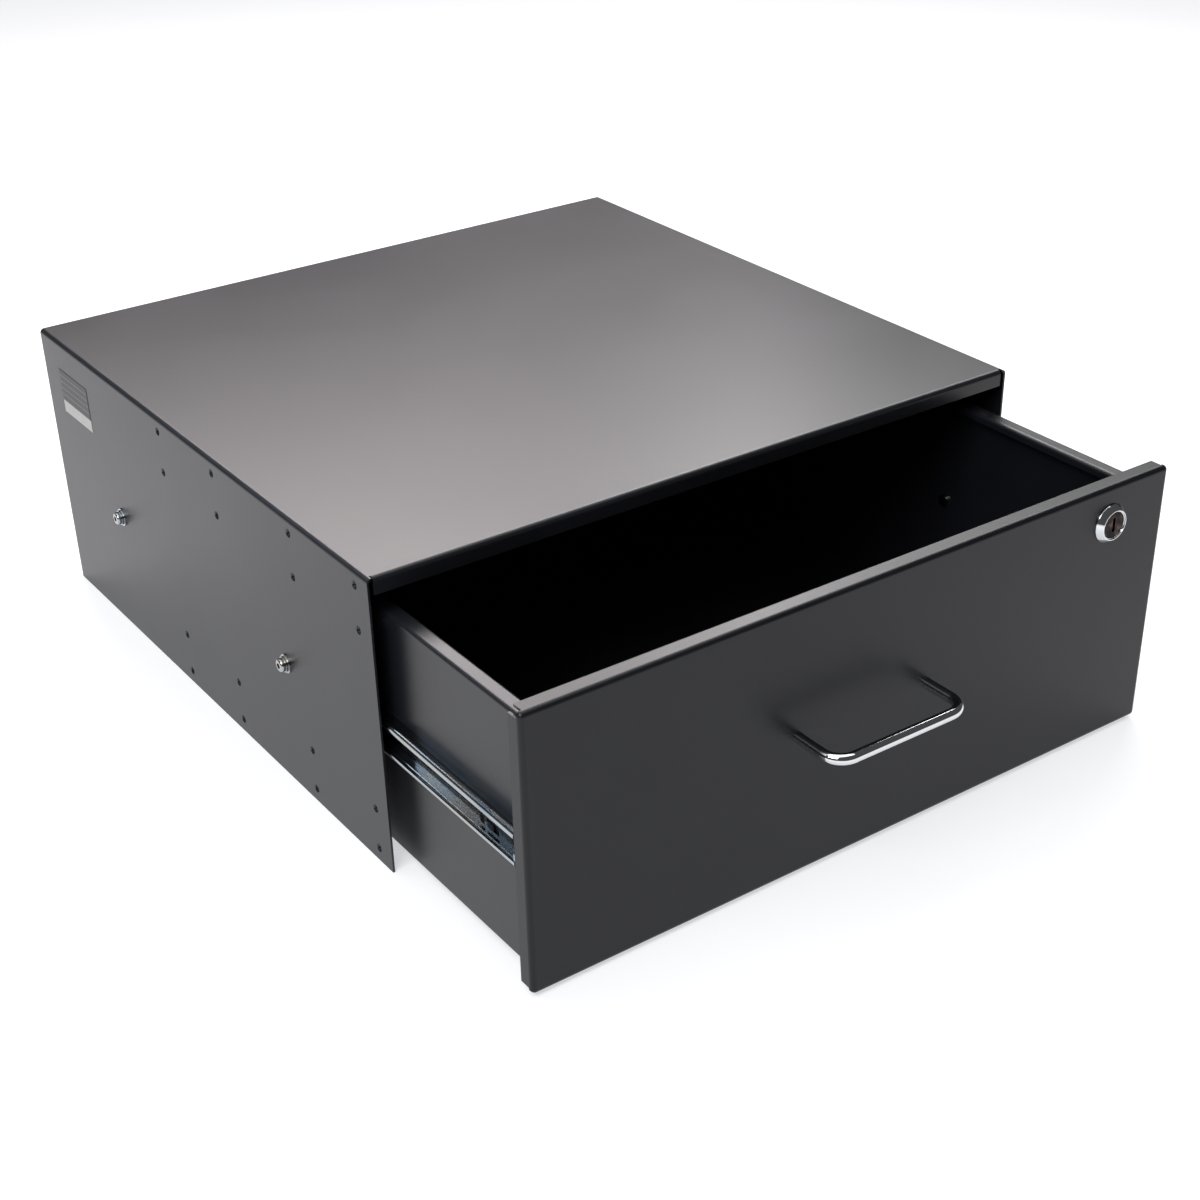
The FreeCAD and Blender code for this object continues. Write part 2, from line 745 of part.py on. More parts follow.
def make_channel(name, side):
    """Drawer member: a channel open towards the cabinet, its lips rolled in round the balls."""
    channel = body(f"{name}_drawer_channel", y=drawer_y)
    back = S.slide_thickness
    sketch = new_sketch(channel, "XZ_Plane", S.channel_from_front)
    draw_outline(sketch, *raceway_outline(side, back, -1, 1, CHANNEL_WRAP))
    pad(channel, sketch, channel_rear - S.channel_from_front)
    # Tab turned across the lower half of the front end.
    sketch = new_sketch(channel, "XZ_Plane", S.channel_from_front)
    tip = S.ball_from_cabinet - groove - S.slide_sheet / 2
    spots = ordered(across(side, tip), across(side, back - S.slide_sheet / 2))
    draw_box(sketch, (spots[0], slide_middle - ball_rise), (spots[1], slide_middle + S.end_tab_top))
    pad(channel, sketch, S.slide_sheet)
    web = ordered(across(side, back), across(side, back - S.slide_sheet))[0]
    sketch = new_sketch(channel, "YZ_Plane", web)
    for start, long in ((S.slot_from_front, S.slot_long), (S.window_from_front, S.window_long)):
        draw_box(sketch, (start, cut_middle - S.cut_high / 2),
                 (start + long, cut_middle + S.cut_high / 2))
    hole = S.rivet_shank + 2 * S.thread_fit
    for y in rivets:
        draw_circle(sketch, (y, slide_middle), hole)
    pocket(channel, sketch, S.slide_sheet, "YZ_Plane")
    tip = channel.Tip
    seats = channel.newObject("PartDesign::Chamfer", f"{name}_rivet_seats")
    seats.Base = (tip, rims_at(tip.Shape, 0, across(side, back - S.slide_sheet), hole / 2))
    bind(seats, "Size", S.rivet_countersink)


def make_cage(name, side):
    """Ball cage: a folded strip, notched round each ball of both rows."""
    cage = body(f"{name}_ball_cage", y=cage_y)
    back = S.slide_thickness - S.slide_sheet - S.cage_gap
    front = S.ball_from_cabinet - S.cage_finger
    top = ball_rise + S.cage_sheet / 2
    inside = top - S.cage_sheet
    web = across(side, back - S.cage_sheet)
    sketch = new_sketch(cage, "XZ_Plane", cage_front)
    outside, edge = across(side, back), across(side, front)
    half = [(outside, top), (edge, top), (edge, inside), (web, inside)]
    draw_outline(sketch, [(x, slide_middle + up) for x, up in half]
                 + [(x, slide_middle - up) for x, up in reversed(half)])
    pad(cage, sketch, S.cage_length)
    sketch = new_sketch(cage, "XY_Plane", slide_middle - top)
    for y in ball_places:
        draw_circle(sketch, (across(side, S.ball_from_cabinet), y),
                    S.ball_width + 2 * S.ball_clearance)
    pocket(cage, sketch, 2 * top, "XY_Plane")


def make_balls(name, side, master):
    group(f"{name}_balls", [(master, (across(side, S.ball_from_cabinet), y,
                                      slide_middle + up * ball_rise), Rotation())
                            for up in (1, -1) for y in ball_places], cage_y)


def make_bumper(name, side):
    """Rubber stop in the rail's rear end, which the channel meets when the drawer shuts."""
    bumper = body(f"{name}_bumper", y=cabinet_y)
    high = ball_rise - groove - S.slide_sheet - S.bumper_side_gap
    spots = ordered(across(side, S.slide_sheet), across(side, S.slide_thickness - S.cage_gap))
    sketch = new_sketch(bumper, "XZ_Plane", rail_rear - S.bumper_length)
    draw_box(sketch, (spots[0], slide_middle - high), (spots[1], slide_middle + high))
    pad(bumper, sketch, S.bumper_length)


def make_slides():
    ball = doc.addObject("Part::Sphere", "ball")
    bind(ball, "Radius", ball_radius)
    for name, side in SIDES.items():
        make_rail(name, side)
        make_channel(name, side)
        make_cage(name, side)
        make_balls(name, side, ball)
        make_bumper(name, side)


# ---- drawer ----------------------------------------------------------------------------------
def make_tray():
    """Floor and side walls in one folded sheet, the walls' tops rolled into rims."""
    tray = body("drawer_tray", y=drawer_y)
    rim = wall_outer - S.rim_width
    lip = wall_top - S.rim_return
    under_rim = wall_top - S.tray_sheet
    half = [(wall_outer, S.wall_bottom), (wall_outer, wall_top), (rim, wall_top), (rim, lip),
            (rim + S.tray_sheet, lip), (rim + S.tray_sheet, under_rim), (wall_inner, under_rim),
            (wall_inner, floor_top)]
    sketch = new_sketch(tray, "XZ_Plane", S.panel_sheet)
    draw_outline(sketch, half + [(-x, z) for x, z in reversed(half)])
    pad(tray, sketch, drawer_depth - S.panel_sheet)
    outer = [(wall_outer, S.wall_bottom), (wall_outer, wall_top), (rim, wall_top)]
    inner = [(wall_inner, floor_top), (wall_inner, under_rim), (rim + S.tray_sheet, under_rim)]
    for spots, radius in ((outer, tray_outer_bend), (inner, S.tray_bend)):
        fillet(tray, 1, [(side * x, z) for x, z in spots for side in SIDES.values()], radius)
    # The rims stop square, short of the front panel.
    sketch = new_sketch(tray, "XZ_Plane", S.panel_sheet)
    for side in SIDES.values():
        spots = ordered(side * rim, side * wall_outer)
        draw_box(sketch, (spots[0], lip), (spots[1], wall_top))
    pocket(tray, sketch, S.rim_setback - S.panel_sheet)
    # Tabs at the front, turned inwards and welded to the back of the panel.
    sketch = new_sketch(tray, "XZ_Plane", S.panel_sheet)
    tab_bottom = S.wall_bottom + S.tab_width + S.relief_width
    for side in SIDES.values():
        spots = ordered(side * (wall_outer - S.tab_width), side * (wall_outer - S.tray_sheet / 2))
        draw_box(sketch, (spots[0], tab_bottom), (spots[1], lip - S.relief_width))
    floor_tab = wall_outer - S.tab_width - S.relief_width
    draw_box(sketch, (-floor_tab, S.wall_bottom + S.tray_sheet / 2),
             (floor_tab, S.wall_bottom + S.tab_width))
    pad(tray, sketch, S.tray_sheet)
    # Hooks pressed out of the walls stand in the windows of the channels.
    for side in SIDES.values():
        run = S.slide_sheet + S.hook_proud
        spots = ordered(side * wall_outer, side * (wall_outer + run))
        sketch = new_sketch(tray, "YZ_Plane", spots[0])
        draw_box(sketch, (S.hook_from_front, cut_middle - S.hook_high / 2),
                 (S.hook_from_front + S.hook_long, cut_middle + S.hook_high / 2))
        pad(tray, sketch, run, "YZ_Plane")
    sketch = new_sketch(tray, "YZ_Plane", -wall_outer)
    for y in rivets:
        draw_circle(sketch, (y, slide_middle), S.rivet_shank + 2 * S.thread_fit)
    pocket(tray, sketch, 2 * wall_outer, "YZ_Plane")


def make_drawer_back():
    """Back wall: a pan between the side walls, under the rims, with its flanges forward."""
    low, high = floor_top, wall_top - S.rim_return - S.relief_width
    size = tray_outer_bend + S.corner_slit
    pan = make_pan("drawer_back", wall_inner, low, high, drawer_depth, -S.back_wall_flange,
                   S.tray_sheet, S.tray_bend, drawer_y)
    open_corners(pan, wall_inner, low, high, drawer_depth, -S.back_wall_flange, size)


def make_front_panel():
    size = panel_outer_bend + S.corner_slit
    panel = make_pan("front_panel", panel_half, S.panel_bottom, panel_top, Size.of(0),
                     S.panel_flange, S.panel_sheet, S.panel_bend, drawer_y)
    open_corners(panel, panel_half, S.panel_bottom, panel_top, Size.of(0), S.panel_flange, size)
    sketch = new_sketch(panel, "XZ_Plane", 0)
    for x in handle_feet:
        draw_circle(sketch, (x, S.handle_height), S.handle_screw_shank + 2 * S.hole_clearance)
    # The lock's hole has two flats that keep the lock from turning.
    flat = S.lock_barrel_flats / 2 + S.hole_clearance
    radius = S.lock_barrel / 2 + S.hole_clearance
    rise = root(radius * radius - flat * flat)
    x, z = lock_across, lock_height
    draw_outline(sketch, [(x - flat, z - rise), (x, z - radius), (x + flat, z - rise),
                          (x + flat, z + rise), (x, z + radius), (x - flat, z + rise)],
                 {k: (radius, (x, z)) for k in (0, 1, 3, 4)})
    pocket(panel, sketch, S.panel_sheet)


def make_handle():
    """Wire pull: one round rod, bent square at both ends and tapped in its feet."""
    handle = body("handle", y=drawer_y)
    first, last = handle_feet
    reach, bend = S.handle_reach, S.handle_bend
    path = new_sketch(handle, "XY_Plane", S.handle_height)
    draw_outline(path, [(first, 0), (first, bend - reach), (first + bend, -reach),
                        (last - bend, -reach), (last, bend - reach), (last, 0)],
                 {1: (bend, (first + bend, bend - reach)), 3: (bend, (last - bend, bend - reach))},
                 closed=False)
    sketch = new_sketch(handle, "XZ_Plane", 0)
    draw_circle(sketch, (first, S.handle_height), S.handle_rod)
    rod = handle.newObject("PartDesign::AdditivePipe", "handle_rod")
    rod.Profile = sketch
    rod.Spine = (path, [f"Edge{k}" for k in range(1, 6)])
    doc.recompute()
    sketch = new_sketch(handle, "XZ_Plane", -S.handle_screw_grip)
    for x in handle_feet:
        draw_circle(sketch, (x, S.handle_height), S.handle_screw_shank + 2 * S.thread_fit)
    pocket(handle, sketch, S.handle_screw_grip)


def pan_screw(name, shank, length, head, head_height):
    """Screw drawn along +Z with a domed head: z = 0 is under the head."""
    stem = doc.addObject("Part::Cylinder", f"{name}_stem")
    bind(stem, "Radius", shank / 2)
    bind(stem, "Height", length)
    cap = doc.addObject("Part::Cylinder", f"{name}_cap")
    bind(cap, "Radius", head / 2)
    bind(cap, "Height", head_height)
    place(cap, z=-head_height)
    dome = doc.addObject("Part::Sphere", f"{name}_dome")
    bind(dome, "Radius", head * 0.75)
    place(dome, z=head * 0.75 - head_height)
    top = doc.addObject("Part::Common", f"{name}_head")
    top.Base = cap
    top.Tool = dome
    whole = doc.addObject("Part::Fuse", name)
    whole.Base = top
    whole.Tool = stem
    return whole


def make_handle_screws():
    screw = pan_screw("handle_screw", S.handle_screw_shank,
                      S.panel_sheet + S.handle_screw_grip * 0.8, S.handle_screw_head,
                      S.handle_screw_head_height)
    forward = Rotation(Vector(1, 0, 0), 90)
    group("handle_screws", [(screw, (x, S.panel_sheet, S.handle_height), forward)
                            for x in handle_feet], drawer_y)


def make_rivet():
    """Rivet along +Z that holds a channel: flush in the channel, a button inside the drawer."""
    flush = doc.addObject("Part::Cone", "rivet_flush_head")
    bind(flush, "Radius1", S.rivet_shank / 2 + S.rivet_countersink)
    bind(flush, "Radius2", S.rivet_shank / 2)
    bind(flush, "Height", S.rivet_countersink)
    stem = doc.addObject("Part::Cylinder", "rivet_stem")
    bind(stem, "Radius", S.rivet_shank / 2)
    bind(stem, "Height", S.slide_sheet + S.tray_sheet)
    button = doc.addObject("Part::Cylinder", "rivet_button_blank")
    bind(button, "Radius", S.rivet_button / 2)
    bind(button, "Height", S.rivet_button_height)
    place(button, z=S.slide_sheet + S.tray_sheet)
    rivet = doc.addObject("Part::MultiFuse", "rivet")
    rivet.Shapes = [flush, stem, button]
    return rivet


def make_slide_rivets():
    rivet = make_rivet()
    for name, side in SIDES.items():
        x = across(side, S.slide_thickness - S.slide_sheet)
        group(f"{name}_slide_rivets", [(rivet, (x, y, slide_middle), inward(side))
                                       for y in rivets], drawer_y)


# ---- cam lock --------------------------------------------------------------------------------
face_y = S.lock_recess_depth - S.lock_bezel_height
shoulder_y = face_y + S.plug_face_height
cam_y = S.lock_barrel_length + S.cam_clearance
wafer_places = [S.wafer_pitch * k for k in range(WAFERS)]


def lock_body_part(name):
    return body(name, x=lock_across, y=drawer_y, z=lock_height)


def make_lock_body():
    """Fixed housing: a tapered bezel in front of the panel and a flatted barrel through it."""
    housing = lock_body_part("lock_body")
    bore = S.plug_shaft / 2 + S.plug_fit
    seat = S.plug_face / 2 + S.plug_fit
    front = -S.lock_bezel_height
    revolve(housing, [(bore, S.lock_barrel_length), (S.lock_barrel / 2, S.lock_barrel_length),
                      (S.lock_barrel / 2, 0), (S.lock_bezel / 2, 0),
                      (S.lock_bezel / 2, front / 5), (S.lock_bezel_front / 2, front),
                      (S.lock_recess / 2, front), (S.lock_recess / 2, face_y),
                      (seat, face_y), (seat, shoulder_y), (bore, shoulder_y)])
    flat, rim = S.lock_barrel_flats / 2, S.lock_barrel / 2
    sketch = new_sketch(housing, "XZ_Plane", 0)
    draw_box(sketch, (flat, -rim), (rim, rim))
    draw_box(sketch, (-rim, -rim), (-flat, rim))
    pocket(housing, sketch, S.lock_barrel_length)


def make_lock_plug():
    """Turning plug: a face with the keyway, a shaft and a square end for the cam."""
    plug = lock_body_part("lock_plug")
    shoulder = shoulder_y - S.plug_end_play
    revolve(plug, [(0, face_y), (S.plug_face / 2, face_y), (S.plug_face / 2, shoulder),
                   (S.plug_shaft / 2, shoulder), (S.plug_shaft / 2, S.lock_barrel_length),
                   (0, S.lock_barrel_length)])
    half = S.plug_square / 2
    sketch = new_sketch(plug, "XZ_Plane", S.lock_barrel_length)
    draw_box(sketch, (-half, -half), (half, half))
    pad(plug, sketch, S.cam_clearance + S.cam_sheet)
    sketch = new_sketch(plug, "XZ_Plane", face_y)
    draw_box(sketch, (-S.key_width / 2, -S.key_height / 2), (S.key_width / 2, S.key_height / 2))
    pocket(plug, sketch, S.key_depth)
    half = S.wafer_width / 2 + S.plug_fit
    rim = S.plug_shaft / 2
    for y in wafer_places:
        sketch = new_sketch(plug, "XZ_Plane", y - S.plug_fit)
        draw_box(sketch, (-half, -rim), (half, rim))
        pocket(plug, sketch, S.wafer_sheet + 2 * S.plug_fit)
    sketch = new_sketch(plug, "XZ_Plane", cam_y + S.cam_sheet - S.cam_screw_length)
    draw_circle(sketch, (0, 0), S.cam_screw_shank + 2 * S.thread_fit)
    pocket(plug, sketch, S.cam_screw_length)


def wafer_box(name, width, height):
    """Box through the thickness of a wafer, centred across it."""
    box = doc.addObject("Part::Box", name)
    bind(box, "Length", width)
    bind(box, "Width", S.wafer_sheet)
    bind(box, "Height", height)
    place(box, x=-width / 2, z=-height / 2)
    return box


def make_lock_wafers():
    """Wafers across the plug, drawn in as the key holds them, with windows for the key."""
    wafer = doc.addObject("Part::Cut", "wafer")
    wafer.Base = wafer_box("wafer_plate", S.wafer_width, S.wafer_height)
    wafer.Tool = wafer_box("wafer_window", S.wafer_window_width, S.wafer_window_height)
    group("lock_wafers", [(wafer, (lock_across, y, lock_height), Rotation())
                          for y in wafer_places], drawer_y)


def make_lock_nut():
    nut = prism("lock_nut_bar", S.lock_nut_across, S.lock_nut_height)
    hole = doc.addObject("Part::Cylinder", "lock_nut_hole")
    bind(hole, "Radius", S.lock_barrel / 2 + S.thread_fit)
    bind(hole, "Height", S.lock_nut_height)
    cut = doc.addObject("Part::Cut", "lock_nut")
    cut.Label = "lock_nut"
    cut.Base = nut
    cut.Tool = hole
    cut.Placement = Placement(Vector(), Rotation(Vector(1, 0, 0), -90))
    place(cut, lock_across, drawer_y + S.panel_sheet, lock_height)
    nodes.append(cut)


def make_lock_cam():
    """Flat latch arm, pointing to the middle when unlocked: rounded at both ends."""
    cam = lock_body_part("lock_cam")
    half = S.cam_width / 2
    tip = half - S.cam_reach
    sketch = new_sketch(cam, "XZ_Plane", cam_y)
    draw_outline(sketch, [(0, -half), (half, 0), (0, half), (tip, half), (-S.cam_reach, 0),
                          (tip, -half)],
                 {0: (half, (0, 0)), 1: (half, (0, 0)), 3: (half, (tip, 0)), 4: (half, (tip, 0))})
    hole = S.plug_square / 2 + S.plug_fit
    draw_box(sketch, (-hole, -hole), (hole, hole))
    pad(cam, sketch, S.cam_sheet)


def make_cam_screw():
    screw = pan_screw("cam_screw_blank", S.cam_screw_shank, S.cam_screw_length * 0.8,
                      S.cam_screw_head, S.cam_screw_head_height)
    forward = Rotation(Vector(1, 0, 0), 90)
    group("cam_screw", [(screw, (lock_across, cam_y + S.cam_sheet, lock_height), forward)],
          drawer_y)


# ---- export ----------------------------------------------------------------------------------
def check_and_export():
    doc.recompute()
    for thing in doc.Objects:
        if "Invalid" in thing.State or "Error" in thing.State:
            raise ValueError(f"{thing.Name}: {thing.State}")
    os.makedirs("parts", exist_ok=True)
    for node in nodes:
        shape = node.Shape
        if shape.isNull() or not shape.isValid() or not shape.Solids:
            raise ValueError(f"{node.Label} has no valid solid")
    for node in nodes:
        node.Shape.exportStep(f"parts/{node.Label}.step")
        box = node.Shape.BoundBox
        print(f"{node.Label:24} solids {len(node.Shape.Solids):3}"
              f"  x {box.XMin:8.2f} {box.XMax:8.2f}  y {box.YMin:8.2f} {box.YMax:8.2f}"
              f"  z {box.ZMin:7.2f} {box.ZMax:7.2f}")


make_shell()
make_cabinet_back()
make_rack_nuts()
make_side_fasteners()
make_label()
make_strike()
make_slides()
make_tray()
make_drawer_back()
make_front_panel()
make_handle()
make_handle_screws()
make_slide_rivets()
make_lock_body()
make_lock_plug()
make_lock_wafers()
make_lock_nut()
make_lock_cam()
make_cam_screw()
check_and_export()
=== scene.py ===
import math

import bmesh
import bpy
from mathutils import Matrix, Vector


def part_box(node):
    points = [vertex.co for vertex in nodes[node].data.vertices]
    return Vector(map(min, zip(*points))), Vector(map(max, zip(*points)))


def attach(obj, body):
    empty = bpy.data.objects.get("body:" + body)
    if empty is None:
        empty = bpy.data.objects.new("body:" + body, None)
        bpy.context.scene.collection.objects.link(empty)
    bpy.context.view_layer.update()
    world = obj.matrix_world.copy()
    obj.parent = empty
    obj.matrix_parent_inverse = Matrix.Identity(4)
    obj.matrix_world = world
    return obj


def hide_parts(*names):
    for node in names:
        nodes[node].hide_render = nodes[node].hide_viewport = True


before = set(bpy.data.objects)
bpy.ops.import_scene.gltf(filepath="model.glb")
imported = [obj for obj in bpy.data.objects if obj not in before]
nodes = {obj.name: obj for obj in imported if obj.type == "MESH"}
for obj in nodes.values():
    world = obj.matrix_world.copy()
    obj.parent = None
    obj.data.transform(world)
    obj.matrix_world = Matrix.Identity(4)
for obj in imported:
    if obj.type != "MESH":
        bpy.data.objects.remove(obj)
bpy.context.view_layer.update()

# Two vertices closer than this, in metres, are one.
SAME = 1e-6


# ---- materials --------------------------------------------------------------------------------
def paint(code):
    """An sRGB hex colour as the linear one that shaders take."""
    parts = [int(code[k:k + 2], 16) / 255 for k in (1, 3, 5)]
    return [c / 12.92 if c <= 0.04045 else ((c + 0.055) / 1.055) ** 2.4 for c in parts] + [1.0]


def add(tree, kind, settings=None, **inputs):
    """Adds a node: settings are its own properties, inputs are sockets' values or links."""
    made = tree.nodes.new(kind)
    for name, value in (settings or {}).items():
        setattr(made, name, value)
    for name, value in inputs.items():
        key = int(name[1:]) if name[0] == "_" and name[1:].isdigit() else name.replace("_", " ")
        if isinstance(value, bpy.types.NodeSocket):
            tree.links.new(value, made.inputs[key])
        else:
            made.inputs[key].default_value = value
    return made


def finish_named(name):
    """A new material, with its tree, its output and the object's coordinates to start from."""
    material = bpy.data.materials.new(name)
    material.use_nodes = True
    tree = material.node_tree
    tree.nodes.clear()
    out = add(tree, "ShaderNodeOutputMaterial")
    where = add(tree, "ShaderNodeTexCoord").outputs["Object"]
    return material, tree, out, where


def surface(tree, out, **inputs):
    """Ends a material: a principled shader with these inputs, joined to the output."""
    shader = add(tree, "ShaderNodeBsdfPrincipled", **inputs)
    tree.links.new(shader.outputs["BSDF"], out.inputs["Surface"])


def noise(tree, where, millimetres, detail):
    """Noise from 0 to 1 whose grain is about this many millimetres across."""
    return add(tree, "ShaderNodeTexNoise", Vector=where, Scale=1000.0 / millimetres,
               Detail=detail).outputs["Fac"]


def ramp(tree, factor, stops):
    """A colour that runs through stops, each a place from 0 to 1 and a colour."""
    made = add(tree, "ShaderNodeValToRGB", Fac=factor)
    made.color_ramp.elements[0].position, made.color_ramp.elements[0].color = stops[0]
    made.color_ramp.elements[1].position, made.color_ramp.elements[1].color = stops[-1]
    for place, colour in stops[1:-1]:
        made.color_ramp.elements.new(place).color = colour
    return made.outputs["Color"]


def spread(tree, value, low, high):
    """A value from 0 to 1 spread over a span."""
    return add(tree, "ShaderNodeMapRange", Value=value, To_Min=low,
               To_Max=high).outputs["Result"]


def relief(tree, height, strength, depth):
    """A normal bumped by a height from 0 to 1, at this depth in metres."""
    return add(tree, "ShaderNodeBump", Strength=strength, Distance=depth,
               Height=height).outputs["Normal"]


def calc(tree, operation, *terms):
    """One step of arithmetic on numbers and sockets."""
    sockets = {f"_{k}": term for k, term in enumerate(terms)}
    return add(tree, "ShaderNodeMath", {"operation": operation}, **sockets).outputs["Value"]


def blend(tree, factor, off, on):
    """One colour where the factor is 0 and another where it is 1."""
    mix = add(tree, "ShaderNodeMix", {"data_type": "RGBA"}, _0=factor, _6=off, _7=on)
    return mix.outputs[2]


def powder_coat(name, dark, light, index):
    """Black polyester powder baked on steel: a soft sheen over a faint orange peel."""
    material, tree, out, where = finish_named(name)
    # The peel is about 1.5 mm in the real coat and is drawn at 3 mm so that it shows.
    peel = noise(tree, where, 3.0, 2.0)
    grit = noise(tree, where, 0.9, 3.0)
    cloud = noise(tree, where, 70.0, 3.0)
    colour = ramp(tree, cloud, [(0.3, paint(dark)), (0.7, paint(light))])
    sheen = spread(tree, cloud, 0.31, 0.37)
    height = calc(tree, "MULTIPLY_ADD", grit, 0.35, peel)
    surface(tree, out, Normal=relief(tree, height, 0.12, 0.0002), Base_Color=colour,
            Roughness=sheen, IOR=index)
    return material


def zinc_plating():
    """Bright zinc with a blue passivation: cool grey steel that drifts to straw in patches."""
    material, tree, out, where = finish_named("blue_zinc_plated_steel")
    # The passivation's patches run along the strip, three times as long as they are wide.
    strip = add(tree, "ShaderNodeMapping", Vector=where, Scale=(1.0, 0.33, 1.0))
    drift = noise(tree, strip.outputs["Vector"], 14.0, 2.0)
    colour = ramp(tree, drift, [(0.36, paint("#8d9ba6")), (0.5, paint("#a4abb0")),
                                (0.64, paint("#aba8a2"))])
    haze = noise(tree, strip.outputs["Vector"], 3.0, 3.0)
    surface(tree, out, Roughness=spread(tree, haze, 0.14, 0.24), Base_Color=colour,
            Metallic=1.0)
    return material


def chrome_plating(name, code, low, high):
    """Polished plating over brass or steel: near a mirror, with a haze of handling."""
    material, tree, out, where = finish_named(name)
    haze = noise(tree, where, 9.0, 4.0)
    surface(tree, out, Roughness=spread(tree, haze, low, high), Base_Color=paint(code),
            Metallic=1.0)
    return material


def smoked_nickel():
    """Black nickel plate on the plug: a dark mirror, with brown patches painted on as
    reflection.
    """
    material, tree, out, where = finish_named("smoked_black_nickel")
    reflection_patches = noise(tree, where, 6.0, 3.0)
    # The brown patches in the colour are a painted reflection; the same noise also varies the
    # roughness.
    colour = ramp(tree, reflection_patches, [(0.4, paint("#131215")), (0.5, paint("#2b2120")),
                                 (0.62, paint("#4b3f39"))])
    surface(tree, out, Roughness=spread(tree, reflection_patches, 0.08, 0.3), Base_Color=colour,
            Metallic=1.0)
    return material


def brass_sheet():
    """Stamped brass: warm yellow with a brushed dullness."""
    material, tree, out, where = finish_named("stamped_brass")
    tarnish = noise(tree, where, 2.0, 3.0)
    colour = ramp(tree, tarnish, [(0.3, paint("#c9a254")), (0.7, paint("#a98441"))])
    surface(tree, out, Base_Color=colour, Metallic=1.0, Roughness=0.35)
    return material


def bumper_rubber():
    """Moulded black rubber: matt, with a fine bloom."""
    material, tree, out, where = finish_named("moulded_black_rubber")
    bloom = noise(tree, where, 1.2, 4.0)
    colour = ramp(tree, bloom, [(0.35, paint("#1a1a1a")), (0.7, paint("#262625"))])
    surface(tree, out, Normal=relief(tree, bloom, 0.2, 0.0001), Base_Color=colour,
            Roughness=0.75)
    return material


def label_film():
    """Printed polyester film with nothing on it: a dark field in thin rules, a pale strip."""
    material, tree, out, where = finish_named("blank_polyester_label")
    low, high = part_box("side_label")
    # The pale strip takes the lowest 27 hundredths and the ruled field the rest. A black
    # border runs along the field's top and along its edge towards the front.
    strip_top = low.z + (high.z - low.z) * 0.27
    pitch, rule, border = 0.0042, 0.0004, 0.0013
    place = add(tree, "ShaderNodeSeparateXYZ", Vector=where)
    along, up = place.outputs["Y"], place.outputs["Z"]
    in_field = calc(tree, "GREATER_THAN", up, strip_top)
    row = calc(tree, "FLOORED_MODULO", calc(tree, "SUBTRACT", up, strip_top), pitch)
    on_rule = calc(tree, "LESS_THAN", row, rule)
    near_top = calc(tree, "GREATER_THAN", up, high.z - border)
    near_front = calc(tree, "LESS_THAN", along, low.y + border)
    on_border = calc(tree, "MAXIMUM", near_top, near_front)
    fibre = noise(tree, where, 1.5, 3.0)
    dark = ramp(tree, fibre, [(0.3, paint("#222224")), (0.7, paint("#2c2d2f"))])
    pale = ramp(tree, fibre, [(0.3, paint("#a4a4a2")), (0.7, paint("#b0b0ad"))])
    ruled = blend(tree, on_rule, dark, paint("#6c6d6f"))
    framed = blend(tree, on_border, ruled, paint("#060606"))
    surface(tree, out, Base_Color=blend(tree, in_field, pale, framed), Roughness=0.38, IOR=1.3)
    return material


BLACK = powder_coat("satin_black_powder_coat", "#141519", "#191a20", 1.42)
# The front panel has the same coat as the rest, drawn darker and bluer with a lower IOR: painted
# shade and a painted bluish reflection, for the darker, cooler surroundings its front faces.
SHADED_PANEL_BLACK = powder_coat("shaded_black_powder_coat", "#0e0f14", "#131419", 1.36)
ZINC = zinc_plating()
CHROME = chrome_plating("polished_chrome_plate", "#d8dadc", 0.04, 0.09)
BALL_STEEL = chrome_plating("polished_ball_steel", "#bfc1c4", 0.05, 0.1)
DARK_NICKEL = smoked_nickel()
BLACK_ZINC = chrome_plating("black_zinc_plate", "#505358", 0.12, 0.2)
BRASS = brass_sheet()
RUBBER = bumper_rubber()
LABEL = label_film()

FINISHES = {
    BLACK: ["cabinet_shell", "cabinet_back", "lock_strike", "drawer_tray", "drawer_back",
            "left_rack_nuts", "right_rack_nuts"],
    SHADED_PANEL_BLACK: ["front_panel"],
    ZINC: ["left_side_screws", "right_side_screws", "left_lock_washers", "right_lock_washers",
           "left_flat_washers", "right_flat_washers", "left_cabinet_rail", "right_cabinet_rail",
           "left_drawer_channel", "right_drawer_channel", "left_ball_cage", "right_ball_cage",
           "left_slide_rivets", "right_slide_rivets", "handle_screws", "lock_nut", "lock_cam",
           "cam_screw"],
    CHROME: ["handle", "lock_body"],
    BALL_STEEL: ["left_balls", "right_balls"],
    DARK_NICKEL: ["lock_plug"],
    BRASS: ["lock_wafers"],
    RUBBER: ["left_bumper", "right_bumper"],
    LABEL: ["side_label"],
}
for finish, names in FINISHES.items():
    for name in names:
        for slot in nodes[name].material_slots:
            slot.material = finish


# ---- pieces -----------------------------------------------------------------------------------
def piece(name, form, finish, body):
    """Makes a bmesh into a piece that rides on a body."""
    mesh = bpy.data.meshes.new(name)
    bmesh.ops.remove_doubles(form, verts=form.verts, dist=SAME)
    bmesh.ops.recalc_face_normals(form, faces=form.faces)
    form.to_mesh(mesh)
    form.free()
    mesh.shade_smooth()
    mesh.set_sharp_from_angle(angle=math.radians(35))
    made = bpy.data.objects.new(name, mesh)
    bpy.context.collection.objects.link(made)
    mesh.materials.append(finish)
    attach(made, body)
    return made


def lathed(form, profile, origin, axis, steps):
    """Spins a run of points, each a distance along an axis and a radius, round that axis."""
    points = [origin + axis * along + Vector((0, 0, radius)) for along, radius in profile]
    ends = [form.verts.new(point) for point in points]
    edges = [form.edges.new(pair) for pair in zip(ends, ends[1:])]
    bmesh.ops.spin(form, geom=ends + edges, cent=origin, axis=axis, angle=math.tau,
                   steps=steps, use_merge=True)


